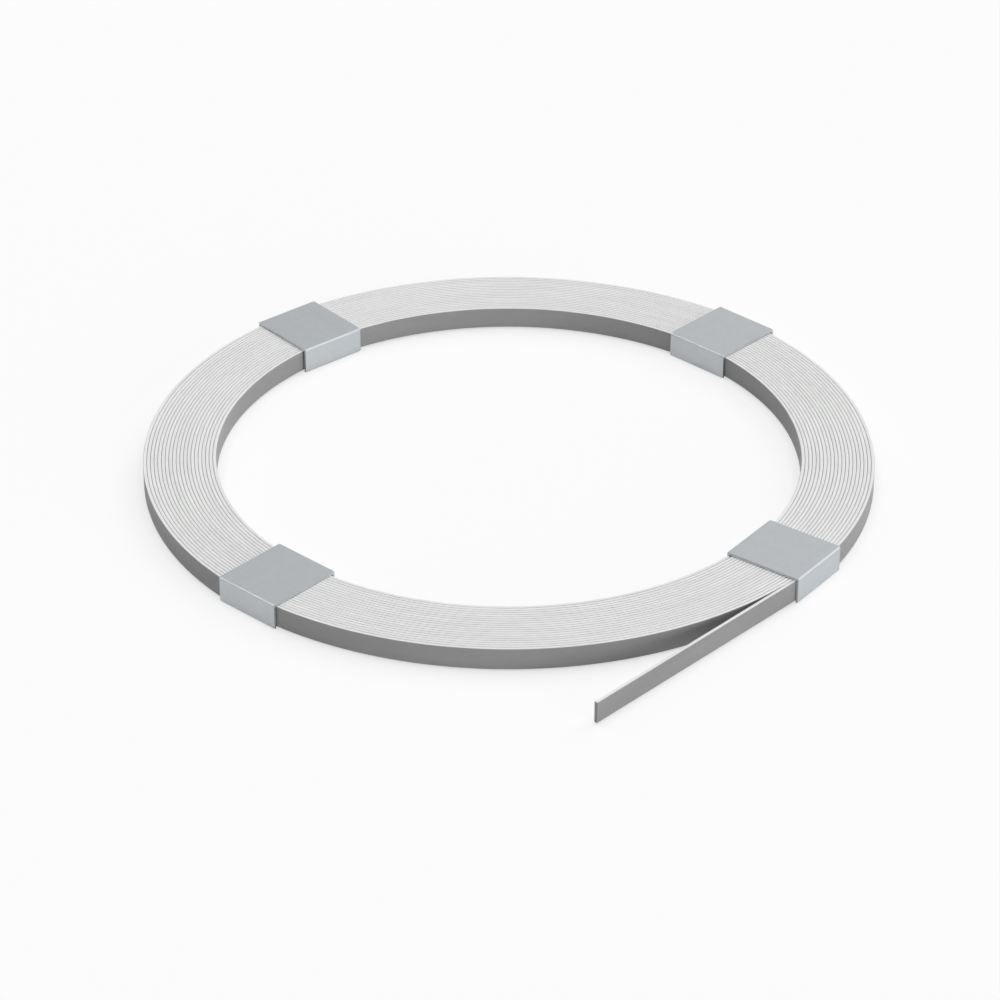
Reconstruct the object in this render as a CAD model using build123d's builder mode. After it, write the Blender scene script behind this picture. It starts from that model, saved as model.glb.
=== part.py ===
from build123d import *

import os
from math import asin, cos, degrees, radians, sin, sqrt

# A coil of flat steel strip lying flat, held by four bent sheet clips. The origin is on the coil's
# axis at floor level and +Z is up. The strip's free end leaves the coil beside one clip.

# Flat strip and its winding
strip_width = 25.0
strip_thickness = 4.0
edge_lean_height = 0.4  # how much lower one side of a turn's edge stands than the other
winding_gap = 0.05  # air left between neighbouring turns
turn_count = 20
bore_diameter = 650.0

# Free end of the strip
free_end_length = 304.0  # straight run, from where the strip leaves the coil to its cut end
lap_angle = 48.5  # turn over which the last of the winding climbs out, in degrees
lap_root_depth = 1.0  # how deep the climbing strip's inner side starts in the outermost turn

# Sheet clips, folded round the wound strip
clip_width = 81.5
clip_sheet = 1.5
clip_lip = 30.0  # part of each wall folded under the coil
clip_hem = 8.0  # width of the hem folded back along both edges of the top and walls
clip_outer_clearance = 0.5  # between the coil and the outer wall
clip_inner_clearance = 3.7  # between the coil and the inner wall, at the clip's edges
clip_headroom = 2.0  # above the coil
clip_slide = 1.4  # how far out one clip sits, loose on the coil
clip_to_free_end = 5.8  # from the clip's edge to where the strip leaves the coil
back_right_angle = 46.3  # the clips' places round the coil, in degrees from +X
back_left_angle = 130.2
front_left_angle = 227.7
front_right_angle = 323.1
clip_angles = {
    "clip_back_right": back_right_angle,
    "clip_back_left": back_left_angle,
    "clip_front_left": front_left_angle,
    "clip_front_right": front_right_angle,
}
leading_clip = "clip_front_right"  # the free end comes out from under this one and pushes it out
loose_clip = "clip_back_right"

# Worked-out sizes
turn_pitch = strip_thickness + winding_gap
bore_radius = bore_diameter / 2
coil_radius = bore_radius + turn_count * turn_pitch
coil_bottom = clip_sheet
coil_top = coil_bottom + strip_width
lap_rise = strip_thickness / 2
free_end_offset = coil_radius + lap_rise
leave_angle = clip_angles[leading_clip] - degrees(
    asin((clip_width / 2 + clip_to_free_end) / coil_radius)
)


def plan_point(radius, angle):
    """The point of the plan at this distance and angle from the coil's axis."""
    return Vector(radius * cos(radians(angle)), radius * sin(radians(angle)))


os.makedirs("parts", exist_ok=True)

# The strip: a turned coil with its bore. On both ends the edges of neighbouring turns lean opposite
# ways, so that every turn shows. The outermost turn is square, and the free end runs out of it flush.
coil_middle = Plane((0, 0, coil_bottom + strip_width / 2), x_dir=(1, 0, 0), z_dir=(0, -1, 0))
crest = strip_width / 2
valley = crest - edge_lean_height
outer_turn_radius = coil_radius - turn_pitch
end_profile = [(coil_radius, 0), (coil_radius, crest), (outer_turn_radius + edge_lean_height, crest)]
for turn in range(turn_count):
    level = crest if turn % 2 else valley
    end_profile.append((outer_turn_radius - turn * turn_pitch, level))
end_profile.append((bore_radius, 0))
lap_start = plan_point(coil_radius, leave_angle + lap_angle)
leave_outside = plan_point(free_end_offset, leave_angle)
leave_inside = plan_point(free_end_offset - strip_thickness, leave_angle)
free_end_run = plan_point(free_end_length, leave_angle - 90)

with BuildPart() as strip_coil:
    with BuildSketch(coil_middle):
        with BuildLine():
            Polyline(*end_profile, close=True)
        make_face()
        mirror(about=Plane.XZ)
    revolve(axis=Axis.Z)
    with BuildSketch(Plane.XY.offset(coil_bottom)):
        with BuildLine():
            TangentArc(leave_outside, lap_start, tangent=-free_end_run)
            Polyline(
                leave_outside,
                leave_outside + free_end_run,
                leave_inside + free_end_run,
                leave_inside,
                lap_start,
            )
        make_face()
        Circle(coil_radius - lap_root_depth, mode=Mode.SUBTRACT)
    extrude(amount=strip_width)

strip_coil.part.label = "strip_coil"
export_step(strip_coil.part, "parts/strip_coil.step")

# The clips: each is one sheet with hemmed edges, folded into a flat sleeve, with both walls turned in
# under the coil. The coil stands on these lips, and the lips stand on the floor.
bore_at_clip_edge = sqrt(bore_radius**2 - (clip_width / 2) ** 2)
ceiling = coil_top + clip_headroom
clip_offsets = {leading_clip: lap_rise, loose_clip: clip_slide}

for clip_name, clip_angle in clip_angles.items():
    clip_offset = clip_offsets.get(clip_name, 0)
    inner_wall = bore_at_clip_edge - clip_inner_clearance + clip_offset
    outer_wall = coil_radius + clip_outer_clearance + clip_offset
    clip_plane = Plane.XZ.rotated((0, 0, clip_angle))
    with BuildPart() as clip:
        with BuildSketch(clip_plane):
            with BuildLine():
                Polyline(
                    (inner_wall + clip_lip, coil_bottom),
                    (inner_wall, coil_bottom),
                    (inner_wall, ceiling),
                    (outer_wall, ceiling),
                    (outer_wall, coil_bottom),
                    (outer_wall - clip_lip, coil_bottom),
                )
                offset(amount=clip_sheet, side=Side.LEFT)
            make_face()
        extrude(amount=clip_width / 2, both=True)
        with BuildSketch(clip_plane) as hem:
            with BuildLine():
                Polyline(
                    (inner_wall, coil_bottom),
                    (inner_wall, ceiling),
                    (outer_wall, ceiling),
                    (outer_wall, coil_bottom),
                )
                offset(amount=clip_sheet, side=Side.RIGHT)
            make_face()
        extrude(hem.sketch, amount=clip_width / 2, both=True)
        extrude(hem.sketch, amount=clip_width / 2 - clip_hem, both=True, mode=Mode.SUBTRACT)
    clip.part.label = clip_name
    export_step(clip.part, f"parts/{clip_name}.step")
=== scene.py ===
from math import asin, atan2, cos, hypot, pi, radians, sin

import bpy
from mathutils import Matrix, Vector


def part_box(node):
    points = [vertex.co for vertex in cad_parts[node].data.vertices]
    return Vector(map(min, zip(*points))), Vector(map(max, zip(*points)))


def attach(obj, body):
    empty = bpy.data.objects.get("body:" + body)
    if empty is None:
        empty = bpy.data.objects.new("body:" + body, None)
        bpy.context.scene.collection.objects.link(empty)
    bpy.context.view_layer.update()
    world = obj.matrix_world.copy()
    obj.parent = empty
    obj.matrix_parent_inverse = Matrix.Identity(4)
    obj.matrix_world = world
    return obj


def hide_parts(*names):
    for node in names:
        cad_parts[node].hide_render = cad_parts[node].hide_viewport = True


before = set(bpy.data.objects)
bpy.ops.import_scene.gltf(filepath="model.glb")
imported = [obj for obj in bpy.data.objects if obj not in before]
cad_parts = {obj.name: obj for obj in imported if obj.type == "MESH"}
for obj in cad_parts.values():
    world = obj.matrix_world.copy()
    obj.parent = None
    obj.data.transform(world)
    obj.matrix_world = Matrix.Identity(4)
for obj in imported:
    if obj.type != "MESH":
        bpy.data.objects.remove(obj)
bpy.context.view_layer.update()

# The strip: one length of flat hot-dip galvanised steel strip, wound flat into a coil of twenty turns.
# Each turn climbs by one thickness over the same lap. The outer end leaves the middle of the lap as a
# straight run with a square-cut end, and the inner end stops beside a clip. All lengths are in metres.
strip_low, strip_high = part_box("strip_coil")
strip_width = strip_high.z - strip_low.z
strip_middle = (strip_high.z + strip_low.z) / 2
strip_thickness = 0.004
strip_edge_radius = 0.0009
strip_edge_segments = 3
cut_edge_radius = 0.00025
cut_edge_segments = 2
winding_gap = 0.00005
turn_pitch = strip_thickness + winding_gap
turn_count = 20
bore_radius = 0.325
first_turn_radius = bore_radius + turn_pitch / 2
coil_radius = bore_radius + turn_count * turn_pitch
free_end_length = 0.304
half_lap = radians(48.5)
climb_before = 0.0032
climb_after = turn_pitch - climb_before
free_end_clip_angle = radians(323.1)
clip_to_leaving_point = 0.04655
leave_angle = free_end_clip_angle - asin(clip_to_leaving_point / coil_radius)
inner_end_angle = radians(0.8)
plain_turn = 2 * pi - 2 * half_lap
plain_steps = 150
lap_steps = 28
lap_step = half_lap / lap_steps
near_angle = lap_step / 4
near_length = 0.00001
smooth_angle = radians(40)
# The wide faces' colour holds painted shade, and the up- and down-facing edges' colour holds painted top
# light, on top of a slightly lighter rolled edge.
strip_face_colour_and_painted_shade = (0.425, 0.425, 0.425, 1)
strip_edge_colour_and_painted_light = (0.83, 0.83, 0.83, 1)
face_slope = 0.5
edge_slope = 0.95


def wound_angle(place):
    """The angle clockwise round the axis from the leaving point to this place, up to a full turn."""
    return (leave_angle - atan2(place.y, place.x)) % (2 * pi)


def is_at(place, angle):
    """Whether this place lies at this angle clockwise from the leaving point."""
    apart = abs(wound_angle(place) - angle) % (2 * pi)
    return min(apart, 2 * pi - apart) < near_angle


def select_points(piece, wanted):
    """Selects, in edit mode, the vertices for which wanted(place) is true, and what they span."""
    bpy.ops.object.mode_set(mode="OBJECT")
    points = piece.data.vertices
    for point in points:
        point.select = wanted(point.co)
    for edge in piece.data.edges:
        edge.select = all(points[i].select for i in edge.vertices)
    for face in piece.data.polygons:
        face.select = all(points[i].select for i in face.vertices)
    bpy.ops.object.mode_set(mode="EDIT")


def wind_on(turned, place_angle, climb):
    """Draws the selected sections out by one step clockwise, then by climb away from the axis."""
    bpy.ops.mesh.extrude_region()
    bpy.ops.transform.rotate(value=turned, orient_axis="Z", center_override=(0, 0, 0))
    bpy.ops.transform.translate(value=(climb * cos(place_angle), climb * sin(place_angle), 0))


def close_cut_end():
    """Closes the selected open section with a square-cut face and takes the burr off its edges."""
    bpy.ops.mesh.edge_face_add()
    bpy.ops.mesh.bevel(offset=cut_edge_radius, segments=cut_edge_segments, affect="EDGES")


def apply_modifier(piece, kind, **settings):
    """Gives the piece a modifier of this kind with these settings and applies it."""
    modifier = piece.modifiers.new(kind.lower(), kind)
    for setting, value in settings.items():
        setattr(modifier, setting, value)
    bpy.ops.object.modifier_apply(modifier=modifier.name)


# One section with rolled edges, then one for each turn where the lap starts
bpy.ops.object.select_all(action="DESELECT")
bpy.ops.mesh.primitive_plane_add(size=1)
strip = bpy.context.object
strip.name = "wound_strip"
bpy.ops.object.mode_set(mode="EDIT")
bpy.ops.mesh.select_all(action="SELECT")
bpy.ops.transform.rotate(value=pi / 2, orient_axis="X", center_override=(0, 0, 0))
bpy.ops.transform.resize(value=(strip_thickness, 1, strip_width), center_override=(0, 0, 0))
bpy.ops.mesh.bevel(offset=strip_edge_radius, segments=strip_edge_segments, affect="VERTICES")
bpy.ops.mesh.delete(type="ONLY_FACE")
bpy.ops.mesh.select_all(action="SELECT")
bpy.ops.transform.translate(value=(first_turn_radius, 0, strip_middle))
bpy.ops.object.mode_set(mode="OBJECT")
apply_modifier(
    strip,
    "ARRAY",
    count=turn_count,
    use_relative_offset=False,
    use_constant_offset=True,
    constant_offset_displace=(turn_pitch, 0, 0),
)
bpy.ops.object.mode_set(mode="EDIT")
bpy.ops.mesh.select_all(action="SELECT")
bpy.ops.transform.rotate(value=-leave_angle - half_lap, orient_axis="Z", center_override=(0, 0, 0))

# The climb up to the leaving point, the free end, and the climb of the other turns beyond that point
for step in range(1, lap_steps + 1):
    wind_on(lap_step, leave_angle + half_lap - step * lap_step, climb_before / lap_steps)
outer_turn_inside = coil_radius + climb_before - turn_pitch
select_points(strip, lambda place: is_at(place, 0) and hypot(place.x, place.y) > outer_turn_inside)
bpy.ops.mesh.extrude_region()
free_end_run = (free_end_length * sin(leave_angle), -free_end_length * cos(leave_angle), 0)
bpy.ops.transform.translate(value=free_end_run)
close_cut_end()
select_points(strip, lambda place: is_at(place, 0) and hypot(place.x, place.y) < outer_turn_inside)
for step in range(1, lap_steps + 1):
    wind_on(lap_step, leave_angle - step * lap_step, climb_after / lap_steps)

# The plain part of every turn, back from the lap's start to its end, and the inner end
select_points(strip, lambda place: is_at(place, -half_lap) and hypot(place.x, place.y) < coil_radius)
bpy.ops.mesh.spin(steps=plain_steps, angle=-plain_turn, center=(0, 0, 0), axis=(0, 0, 1))
bpy.ops.mesh.select_all(action="SELECT")
bpy.ops.mesh.remove_doubles(threshold=near_length)
first_turn_outside = bore_radius + turn_pitch
select_points(
    strip, lambda place: is_at(place, half_lap) and hypot(place.x, place.y) < first_turn_outside
)
inner_step = (half_lap - inner_end_angle) / lap_steps
inner_climb = -climb_after * inner_step / half_lap
for step in range(1, lap_steps + 1):
    wind_on(-inner_step, leave_angle - half_lap + step * inner_step, inner_climb)
close_cut_end()
bpy.ops.mesh.select_all(action="SELECT")
bpy.ops.mesh.normals_make_consistent(inside=False)
bpy.ops.object.mode_set(mode="OBJECT")
bpy.ops.object.shade_smooth_by_angle(angle=smooth_angle)
apply_modifier(strip, "WEIGHTED_NORMAL", keep_sharp=True)

# Each point's place on the unrolled strip: along it, through its thickness and up its width
mean_radius = (bore_radius + coil_radius) / 2
free_end_from = coil_radius + strip_thickness
strip_places = []
for point in strip.data.vertices:
    radius = hypot(point.co.x, point.co.y)
    wound = wound_angle(point.co)
    climb_left = max(0, 1 - min(wound, 2 * pi - wound) / half_lap)
    circle = first_turn_radius + climb_left * (climb_before if wound > pi else -climb_after)
    turn = round((radius - circle) / turn_pitch)
    along = mean_radius * (2 * pi * turn + wound)
    through = radius - circle - turn * turn_pitch
    if radius > free_end_from:
        along = mean_radius * 2 * pi * turn_count + free_end_length
        from_axis = point.co.x * cos(leave_angle) + point.co.y * sin(leave_angle)
        through = from_axis - (coil_radius + climb_before - turn_pitch / 2)
    strip_places.extend((along, through, point.co.z))
strip.data.attributes.new("strip_place", "FLOAT_VECTOR", "POINT")
strip.data.attributes["strip_place"].data.foreach_set("vector", strip_places)


def add_node(tree, kind, **values):
    """Adds a node of this kind to the tree, with its settings and its input values by name."""
    node = tree.nodes.new(kind)
    for name, value in values.items():
        if hasattr(node, name):
            setattr(node, name, value)
        else:
            node.inputs[name.replace("_", " ").title()].default_value = value
    return node


def feed(tree, value, socket):
    """Links an output to this input, or sets the input to a plain number or colour."""
    if isinstance(value, bpy.types.NodeSocket):
        tree.links.new(value, socket)
    else:
        socket.default_value = value


def add_math(tree, operation, *values):
    """Adds a Math node on these outputs or numbers and returns its result."""
    node = add_node(tree, "ShaderNodeMath", operation=operation)
    for value, socket in zip(values, node.inputs):
        feed(tree, value, socket)
    return node.outputs["Value"]


def add_ramp(tree, value, start, end, low=0, high=1):
    """Adds a smooth ramp, which is low where the value is start and high where it is end."""
    ramp = add_node(
        tree,
        "ShaderNodeMapRange",
        interpolation_type="SMOOTHSTEP",
        from_min=start,
        from_max=end,
        to_min=low,
        to_max=high,
    )
    tree.links.new(value, ramp.inputs["Value"])
    return ramp.outputs["Result"]


def mix_colours(tree, first, second, share, blend_type="MIX"):
    """Adds a colour Mix node with this share of the second colour and returns its result."""
    node = add_node(tree, "ShaderNodeMix", data_type="RGBA", blend_type=blend_type)
    sides = {socket.identifier: socket for socket in node.inputs}
    feed(tree, share, sides["Factor_Float"])
    feed(tree, first, sides["A_Color"])
    feed(tree, second, sides["B_Color"])
    results = {socket.identifier: socket for socket in node.outputs}
    return results["Result_Color"]


def make_material(name):
    """A new material with only a Principled shader, and that shader."""
    material = bpy.data.materials.new(name)
    material.use_nodes = True
    return material, material.node_tree.nodes["Principled BSDF"]


# Zinc coating: soft clouds of tone, a faint crystal spangle, and fine drawn lines along the rolling.
# Waves and spangles are counted to the metre; waves along the sheet, through it and across it.
cloud_waves = (9, 60, 60)
line_waves = (6, 1500, 1500)
spangle_count = 170.0
pattern_middle = 0.5
plain_tone = 1.0
matt_for_tone = -0.6
zinc_coat = bpy.data.node_groups.new("zinc_coat", "ShaderNodeTree")
zinc_coat.interface.new_socket("Place", in_out="INPUT", socket_type="NodeSocketVector")
for amount in ("Cloud", "Spangle", "Line"):
    zinc_coat.interface.new_socket(amount, in_out="INPUT", socket_type="NodeSocketFloat")
for effect in ("Tone", "Matt", "Height"):
    zinc_coat.interface.new_socket(effect, in_out="OUTPUT", socket_type="NodeSocketFloat")
coat_in = zinc_coat.nodes.new("NodeGroupInput")
coat_out = zinc_coat.nodes.new("NodeGroupOutput")


def add_waves(wave_counts, detail, roughness):
    """Adds soft noise with these counts of waves and returns its pattern."""
    place = add_node(zinc_coat, "ShaderNodeVectorMath", operation="MULTIPLY")
    zinc_coat.links.new(coat_in.outputs["Place"], place.inputs[0])
    place.inputs[1].default_value = wave_counts
    noise = add_node(zinc_coat, "ShaderNodeTexNoise", scale=1.0, detail=detail, roughness=roughness)
    zinc_coat.links.new(place.outputs["Vector"], noise.inputs["Vector"])
    return noise.outputs["Fac"]


def weigh(pattern, amount):
    """How far the pattern lies from its middle, times the coating's input of this name."""
    swing = add_math(zinc_coat, "SUBTRACT", pattern, pattern_middle)
    return add_math(zinc_coat, "MULTIPLY", swing, coat_in.outputs[amount])


spangles = add_node(zinc_coat, "ShaderNodeTexVoronoi", scale=spangle_count, randomness=1.0)
zinc_coat.links.new(coat_in.outputs["Place"], spangles.inputs["Vector"])
spangle_tone = add_node(zinc_coat, "ShaderNodeSeparateColor")
zinc_coat.links.new(spangles.outputs["Color"], spangle_tone.inputs["Color"])
cloud_part = weigh(add_waves(cloud_waves, detail=4.0, roughness=0.55), "Cloud")
spangle_part = weigh(spangle_tone.outputs["Red"], "Spangle")
line_part = weigh(add_waves(line_waves, detail=2.0, roughness=0.6), "Line")
coat_sum = add_math(zinc_coat, "ADD", add_math(zinc_coat, "ADD", cloud_part, spangle_part), line_part)
zinc_coat.links.new(add_math(zinc_coat, "ADD", coat_sum, plain_tone), coat_out.inputs["Tone"])
zinc_coat.links.new(add_math(zinc_coat, "MULTIPLY", coat_sum, matt_for_tone), coat_out.inputs["Matt"])
zinc_coat.links.new(add_math(zinc_coat, "ADD", line_part, cloud_part), coat_out.inputs["Height"])


def coat_with_zinc(material, shader, place, base, plain_roughness, bump_distance, **amounts):
    """Runs the zinc coating's tone, gloss and relief over a base colour, into the shader."""
    tree = material.node_tree
    coat = add_node(tree, "ShaderNodeGroup", node_tree=zinc_coat)
    for name, value in amounts.items():
        coat.inputs[name.title()].default_value = value
    tree.links.new(place, coat.inputs["Place"])
    toned = mix_colours(tree, base, coat.outputs["Tone"], share=1, blend_type="MULTIPLY")
    tree.links.new(toned, shader.inputs["Base Color"])
    matt = add_math(tree, "ADD", coat.outputs["Matt"], plain_roughness)
    tree.links.new(matt, shader.inputs["Roughness"])
    bump = add_node(tree, "ShaderNodeBump", strength=1.0, distance=bump_distance)
    tree.links.new(coat.outputs["Height"], bump.inputs["Height"])
    tree.links.new(bump.outputs["Normal"], shader.inputs["Normal"])


# The rolled edges, which face up and down, are a little lighter zinc than the strip's wide faces. Most
# of the difference is painted light: the up- and down-facing edges are painted lighter as painted top
# light, and the wide faces darker as painted shade.
strip_zinc, strip_shader = make_material("strip_zinc")
strip_shader.inputs["Metallic"].default_value = 0.05
strip_shader.inputs["Specular IOR Level"].default_value = 0.1
strip_tree = strip_zinc.node_tree
strip_place = add_node(strip_tree, "ShaderNodeAttribute", attribute_name="strip_place")
strip_normal = strip_tree.nodes.new("ShaderNodeTexCoord")
normal_parts = strip_tree.nodes.new("ShaderNodeSeparateXYZ")
strip_tree.links.new(strip_normal.outputs["Normal"], normal_parts.inputs["Vector"])
slope = add_math(strip_tree, "ABSOLUTE", normal_parts.outputs["Z"])
# Share of the painted top light: it grows as the surface faces up or down.
edge_and_painted_light_share = add_ramp(strip_tree, slope, face_slope, edge_slope)
coat_with_zinc(
    strip_zinc,
    strip_shader,
    strip_place.outputs["Vector"],
    mix_colours(strip_tree, strip_face_colour_and_painted_shade, strip_edge_colour_and_painted_light, edge_and_painted_light_share),
    plain_roughness=0.5,
    bump_distance=0.0001,
    cloud=0.22,
    spangle=0.03,
    line=0.06,
)
strip.data.materials.append(strip_zinc)
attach(strip, "root")
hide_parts("strip_coil")

# The clips: zinc-coated sheet with hemmed edges, folded over the coil, with both walls turned in under
# it as lips, on which the coil stands. All four are folded on one pattern, then set round the coil. The
# strip rises under the clip at the free end and pushes it out, and another clip sits loosely.
clip_width = 0.0815
clip_sheet = 0.0015
clip_hem = 0.008
clip_hem_thickness = 2 * clip_sheet
clip_hem_lean = 0.00045
clip_hem_radius = 0.0008
clip_hem_segments = 3
clip_bend_radius = 0.002
clip_bend_segments = 5
clip_lip = 0.0315
clip_inside = 0.317235
clip_outside = 0.408
clip_length = clip_outside - clip_inside
clip_middle = (clip_outside + clip_inside) / 2
clip_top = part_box("clip_back_left")[1].z
clip_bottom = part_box("clip_back_left")[0].z
pushed_out = 0.0028
loose_slide = 0.0014
clip_places = {
    "back_right": (radians(46.3), loose_slide),
    "back_left": (radians(130.2), 0),
    "front_left": (radians(227.7), 0),
    "front_right": (free_end_clip_angle, pushed_out),
}
clip_colour = (0.555, 0.58, 0.60, 1)


def is_near(value, *wanted):
    """Whether a length is one of the wanted ones, within a hundredth of a millimetre."""
    return any(abs(value - length) < near_length for length in wanted)


# The sheet between the hems: its top, walls and lips, with rounded bends
bpy.ops.object.select_all(action="DESELECT")
bpy.ops.mesh.primitive_plane_add(size=1)
clip_pattern = bpy.context.object
bpy.ops.object.mode_set(mode="EDIT")
bpy.ops.mesh.select_all(action="SELECT")
between_hems = clip_width - 2 * clip_hem
bpy.ops.transform.resize(value=(clip_length, between_hems, 1), center_override=(0, 0, 0))
bpy.ops.transform.translate(value=(clip_middle, 0, clip_top))
for wall, lip in ((clip_inside, clip_lip), (clip_outside, -clip_lip)):
    select_points(clip_pattern, lambda place: is_near(place.x, wall))
    bpy.ops.mesh.extrude_region()
    bpy.ops.transform.translate(value=(0, 0, clip_bottom - clip_top))
    bpy.ops.mesh.extrude_region()
    bpy.ops.transform.translate(value=(lip, 0, 0))
bpy.ops.object.mode_set(mode="OBJECT")
for face in clip_pattern.data.polygons:
    face.select = False
for edge in clip_pattern.data.edges:
    first, second = [clip_pattern.data.vertices[i].co for i in edge.vertices]
    is_across = is_near((first - second).xz.length, 0)
    edge.select = is_across and is_near(first.x, clip_inside, clip_outside)
bpy.ops.object.mode_set(mode="EDIT")
bpy.ops.mesh.select_mode(type="EDGE")
bpy.ops.mesh.bevel(offset=clip_bend_radius, segments=clip_bend_segments, affect="EDGES")
bpy.ops.mesh.select_mode(type="VERT")
bpy.ops.object.mode_set(mode="OBJECT")
apply_modifier(clip_pattern, "SOLIDIFY", thickness=clip_sheet, offset=-1, use_even_offset=True)

# The hems along both edges of the top and walls, where the sheet is folded back on itself. Under the
# top they lean down to the coil at its bore.
bpy.ops.object.select_all(action="DESELECT")
bpy.ops.mesh.primitive_plane_add(size=1)
hem = bpy.context.object
bpy.ops.object.mode_set(mode="EDIT")
bpy.ops.mesh.select_all(action="SELECT")
bpy.ops.transform.rotate(value=pi / 2, orient_axis="X", center_override=(0, 0, 0))
bpy.ops.transform.resize(value=(clip_length, 1, clip_hem_thickness), center_override=(0, 0, 0))
bpy.ops.transform.translate(value=(clip_middle, between_hems / 2, clip_top - clip_hem_thickness / 2))
hem_underside = clip_top - clip_hem_thickness
inner_hem_wall = clip_inside + clip_hem_thickness
outer_hem_wall = clip_outside - clip_hem_thickness
for wall in (inner_hem_wall, outer_hem_wall):
    bpy.ops.mesh.select_all(action="SELECT")
    bpy.ops.mesh.bisect(plane_co=(wall, 0, 0), plane_no=(1, 0, 0))
for end in ((clip_inside, inner_hem_wall), (outer_hem_wall, clip_outside)):
    select_points(hem, lambda place: is_near(place.z, hem_underside) and is_near(place.x, *end))
    bpy.ops.mesh.extrude_region()
    bpy.ops.transform.translate(value=(0, 0, clip_bottom - hem_underside))
select_points(hem, lambda place: is_near(place.z, hem_underside) and is_near(place.x, inner_hem_wall))
bpy.ops.transform.translate(value=(0, 0, -clip_hem_lean))


def is_bend(place):
    """Whether this place is an outer corner of the folded hem."""
    return is_near(place.x, clip_inside, clip_outside) and is_near(place.z, clip_top, clip_bottom)


def is_rim(place):
    """Whether this place is on the clip's edge, away from the corners inside the fold."""
    return is_near(place.y, clip_width / 2) and not is_near(place.x, inner_hem_wall, outer_hem_wall)


select_points(hem, is_bend)
bpy.ops.mesh.bevel(offset=clip_bend_radius, segments=clip_bend_segments, affect="VERTICES")
bpy.ops.mesh.select_all(action="SELECT")
bpy.ops.mesh.extrude_region()
bpy.ops.transform.translate(value=(0, clip_hem, 0))
select_points(hem, is_rim)
bpy.ops.mesh.bevel(offset=clip_hem_radius, segments=clip_hem_segments, affect="EDGES")
bpy.ops.mesh.select_all(action="SELECT")
bpy.ops.mesh.normals_make_consistent(inside=False)
bpy.ops.object.mode_set(mode="OBJECT")
apply_modifier(hem, "MIRROR", use_axis=(False, True, False), use_mirror_merge=False)
clip_pattern.select_set(True)
bpy.context.view_layer.objects.active = clip_pattern
bpy.ops.object.join()
bpy.ops.object.shade_smooth_by_angle(angle=smooth_angle)
apply_modifier(clip_pattern, "WEIGHTED_NORMAL", keep_sharp=True)

clip_zinc, clip_shader = make_material("clip_zinc")
clip_shader.inputs["Metallic"].default_value = 1
sheet_place = add_node(clip_zinc.node_tree, "ShaderNodeAttribute", attribute_name="sheet_place")
coat_with_zinc(
    clip_zinc,
    clip_shader,
    sheet_place.outputs["Vector"],
    clip_colour,
    plain_roughness=0.5,
    bump_distance=0.0001,
    cloud=0.05,
    spangle=0.025,
    line=0.03,
)

# Each clip keeps its places on the folded pattern for its coating, which starts elsewhere on every clip
for clip_name, (clip_angle, clip_offset) in clip_places.items():
    clip = clip_pattern.copy()
    clip.data = clip_pattern.data.copy()
    clip.name = f"sheet_clip_{clip_name}"
    bpy.context.collection.objects.link(clip)
    bpy.ops.object.select_all(action="DESELECT")
    clip.select_set(True)
    bpy.context.view_layer.objects.active = clip
    sheet_places = []
    for point in clip.data.vertices:
        sheet_places.extend((clip_angle + point.co.x, point.co.y, point.co.z))
    clip.data.attributes.new("sheet_place", "FLOAT_VECTOR", "POINT")
    clip.data.attributes["sheet_place"].data.foreach_set("vector", sheet_places)
    bpy.ops.object.mode_set(mode="EDIT")
    bpy.ops.mesh.select_all(action="SELECT")
    bpy.ops.transform.translate(value=(clip_offset, 0, 0))
    bpy.ops.transform.rotate(value=-clip_angle, orient_axis="Z", center_override=(0, 0, 0))
    bpy.ops.object.mode_set(mode="OBJECT")
    clip.data.materials.append(clip_zinc)
    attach(clip, "root")
    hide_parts(f"clip_{clip_name}")
bpy.data.objects.remove(clip_pattern)

# The floor: a plain white studio floor, on which the clips' lips stand. It is white to the camera and
# in the metal, and throws back less light than that on the coil's walls.
floor_size = 40
floor_drop = 0.0002
floor_white = (0.99, 0.99, 0.99, 1)
floor_bounce = (0.68, 0.68, 0.68, 1)
floor_glow_share = 0.6
bpy.ops.object.select_all(action="DESELECT")
bpy.ops.mesh.primitive_plane_add(size=floor_size, location=(0, 0, -floor_drop))
floor = bpy.context.object
floor.name = "studio_floor"
floor_white_paint = bpy.data.materials.new("studio_white")
floor_white_paint.use_nodes = True
floor_tree = floor_white_paint.node_tree
floor_tree.nodes.clear()
floor_out = floor_tree.nodes.new("ShaderNodeOutputMaterial")
ray = floor_tree.nodes.new("ShaderNodeLightPath")
seen = add_math(floor_tree, "ADD", ray.outputs["Is Camera Ray"], ray.outputs["Is Glossy Ray"])
floor_paint = floor_tree.nodes.new("ShaderNodeBsdfDiffuse")
floor_colour = mix_colours(floor_tree, floor_bounce, floor_white, seen)
floor_tree.links.new(floor_colour, floor_paint.inputs["Color"])
floor_glow = floor_tree.nodes.new("ShaderNodeEmission")
floor_mix = floor_tree.nodes.new("ShaderNodeMixShader")
camera_glow = add_math(floor_tree, "MULTIPLY", ray.outputs["Is Camera Ray"], floor_glow_share)
floor_tree.links.new(camera_glow, floor_mix.inputs["Fac"])
floor_tree.links.new(floor_paint.outputs["BSDF"], floor_mix.inputs[1])
floor_tree.links.new(floor_glow.outputs["Emission"], floor_mix.inputs[2])
floor_tree.links.new(floor_mix.outputs["Shader"], floor_out.inputs["Surface"])
floor.data.materials.append(floor_white_paint)

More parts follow.
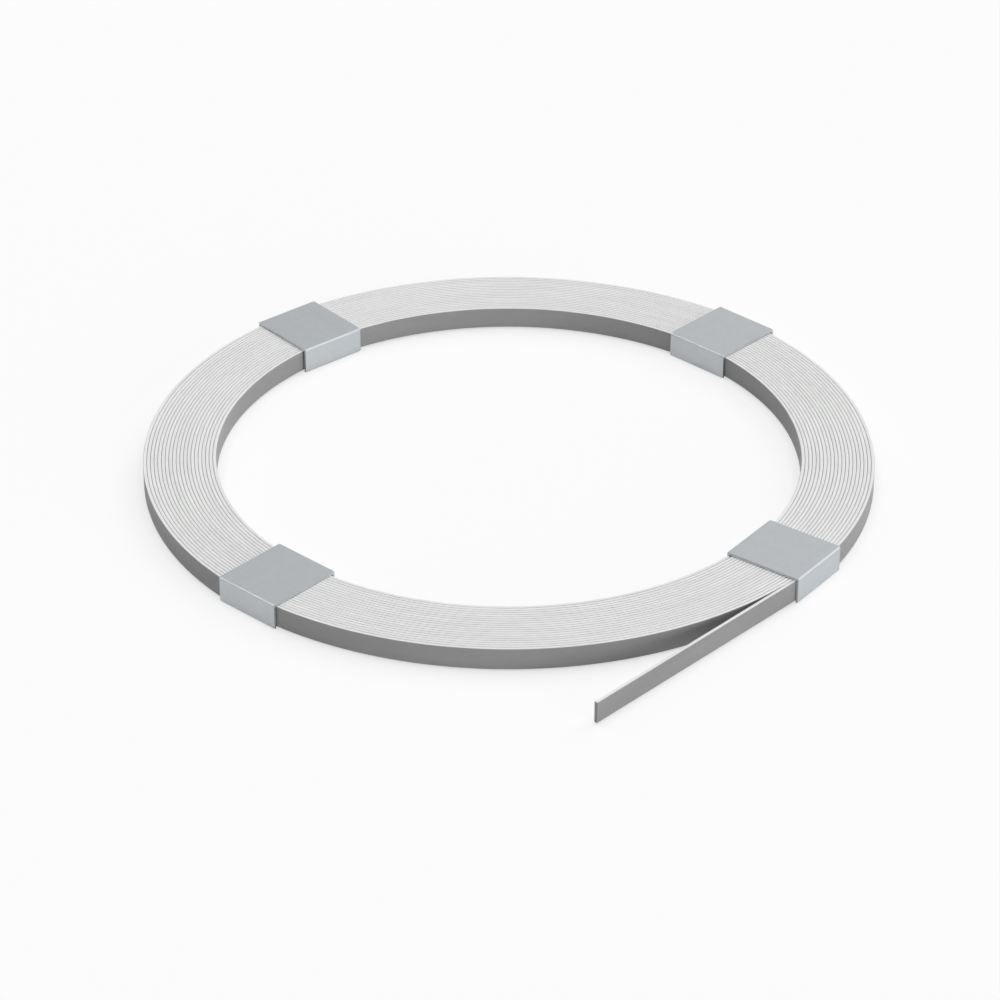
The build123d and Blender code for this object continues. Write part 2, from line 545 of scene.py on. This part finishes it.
# The studio light: wide soft lamps overhead, low at the front right and at the back on both sides, and a
# low even fill. The room that the metal shows is paler overhead and to the right, dark to the left, and
# has one bright patch high on the left, which shows in the clips' bends.
fill_level = 0.06
room_white = (1, 1, 1, 1)
horizon_height = 0.05
wall_height = 0.45
high_level = 0.605
right_gain = 1.35
ceiling_from = 0.6
ceiling_full = 0.95
ceiling_gain = 0.7
left_from = -0.55
left_full = -0.8
left_low = 0.45
left_high = 0.62
left_gain = 5.5
world = bpy.data.worlds.new("studio")
bpy.context.scene.world = world
world.use_nodes = True
world_tree = world.node_tree
world_ray = world_tree.nodes.new("ShaderNodeLightPath").outputs
seen_world = add_math(world_tree, "ADD", world_ray["Is Camera Ray"], world_ray["Is Glossy Ray"])
seen_world = add_math(world_tree, "ADD", seen_world, world_ray["Is Transmission Ray"])
world_way = world_tree.nodes.new("ShaderNodeTexCoord")
way_parts = world_tree.nodes.new("ShaderNodeSeparateXYZ")
world_tree.links.new(world_way.outputs["Generated"], way_parts.inputs["Vector"])
to_right = way_parts.outputs["X"]
upwards = way_parts.outputs["Z"]
room_level = add_ramp(world_tree, upwards, horizon_height, wall_height, low=1, high=high_level)
room_side = add_math(world_tree, "MULTIPLY_ADD", to_right, right_gain, 1)
room_side = add_math(world_tree, "MAXIMUM", room_side, 0)
ceiling_level = add_ramp(world_tree, upwards, ceiling_from, ceiling_full, high=ceiling_gain)
left_side = add_ramp(world_tree, to_right, left_from, left_full, high=left_gain)
left_height = add_ramp(world_tree, upwards, left_low, left_high)
left_level = add_math(world_tree, "MULTIPLY", left_side, left_height)
room = add_math(world_tree, "MULTIPLY", room_level, room_side)
room = add_math(world_tree, "ADD", room, ceiling_level)
room = add_math(world_tree, "ADD", room, left_level)
world_level = add_node(world_tree, "ShaderNodeMapRange", to_min=fill_level)
world_tree.links.new(room, world_level.inputs["To Max"])
world_tree.links.new(seen_world, world_level.inputs["Value"])
background = world_tree.nodes["Background"]
background.inputs["Color"].default_value = room_white
world_tree.links.new(world_level.outputs["Result"], background.inputs["Strength"])


def add_soft_light(name, strength, spread, height, turn):
    """A far soft light of this spread, at this angle above the floor and turned this far from +X."""
    light = bpy.data.lights.new(name, "SUN")
    light.energy = strength
    light.angle = radians(spread)
    lamp = bpy.data.objects.new(name, light)
    lamp.rotation_euler = (0, radians(90 - height), radians(turn))
    lamp.visible_glossy = False
    bpy.context.collection.objects.link(lamp)


add_soft_light("overhead_softbox", strength=1.8, spread=54, height=90, turn=0)
add_soft_light("front_right_softbox", strength=1.2, spread=36, height=6, turn=-45)
add_soft_light("back_right_softbox", strength=0.84, spread=40, height=40, turn=45)
add_soft_light("back_left_softbox", strength=0.42, spread=40, height=40, turn=135)

# The camera: a long lens from the front, looking down on the coil as the picture does. The lens and the
# sensor are in millimetres.
camera_lens = 131.88
camera_sensor = 36
camera_place = (-0.0095, -3.5171, 2.0989)
camera_tilt = radians(58.665)
camera_data = bpy.data.cameras.new("camera")
camera_data.lens = camera_lens
camera_data.sensor_width = camera_sensor
camera = bpy.data.objects.new("camera", camera_data)
camera.location = camera_place
camera.rotation_euler = (camera_tilt, 0, 0)
bpy.context.collection.objects.link(camera)
bpy.context.scene.camera = camera
bpy.context.scene.view_settings.view_transform = "Standard"
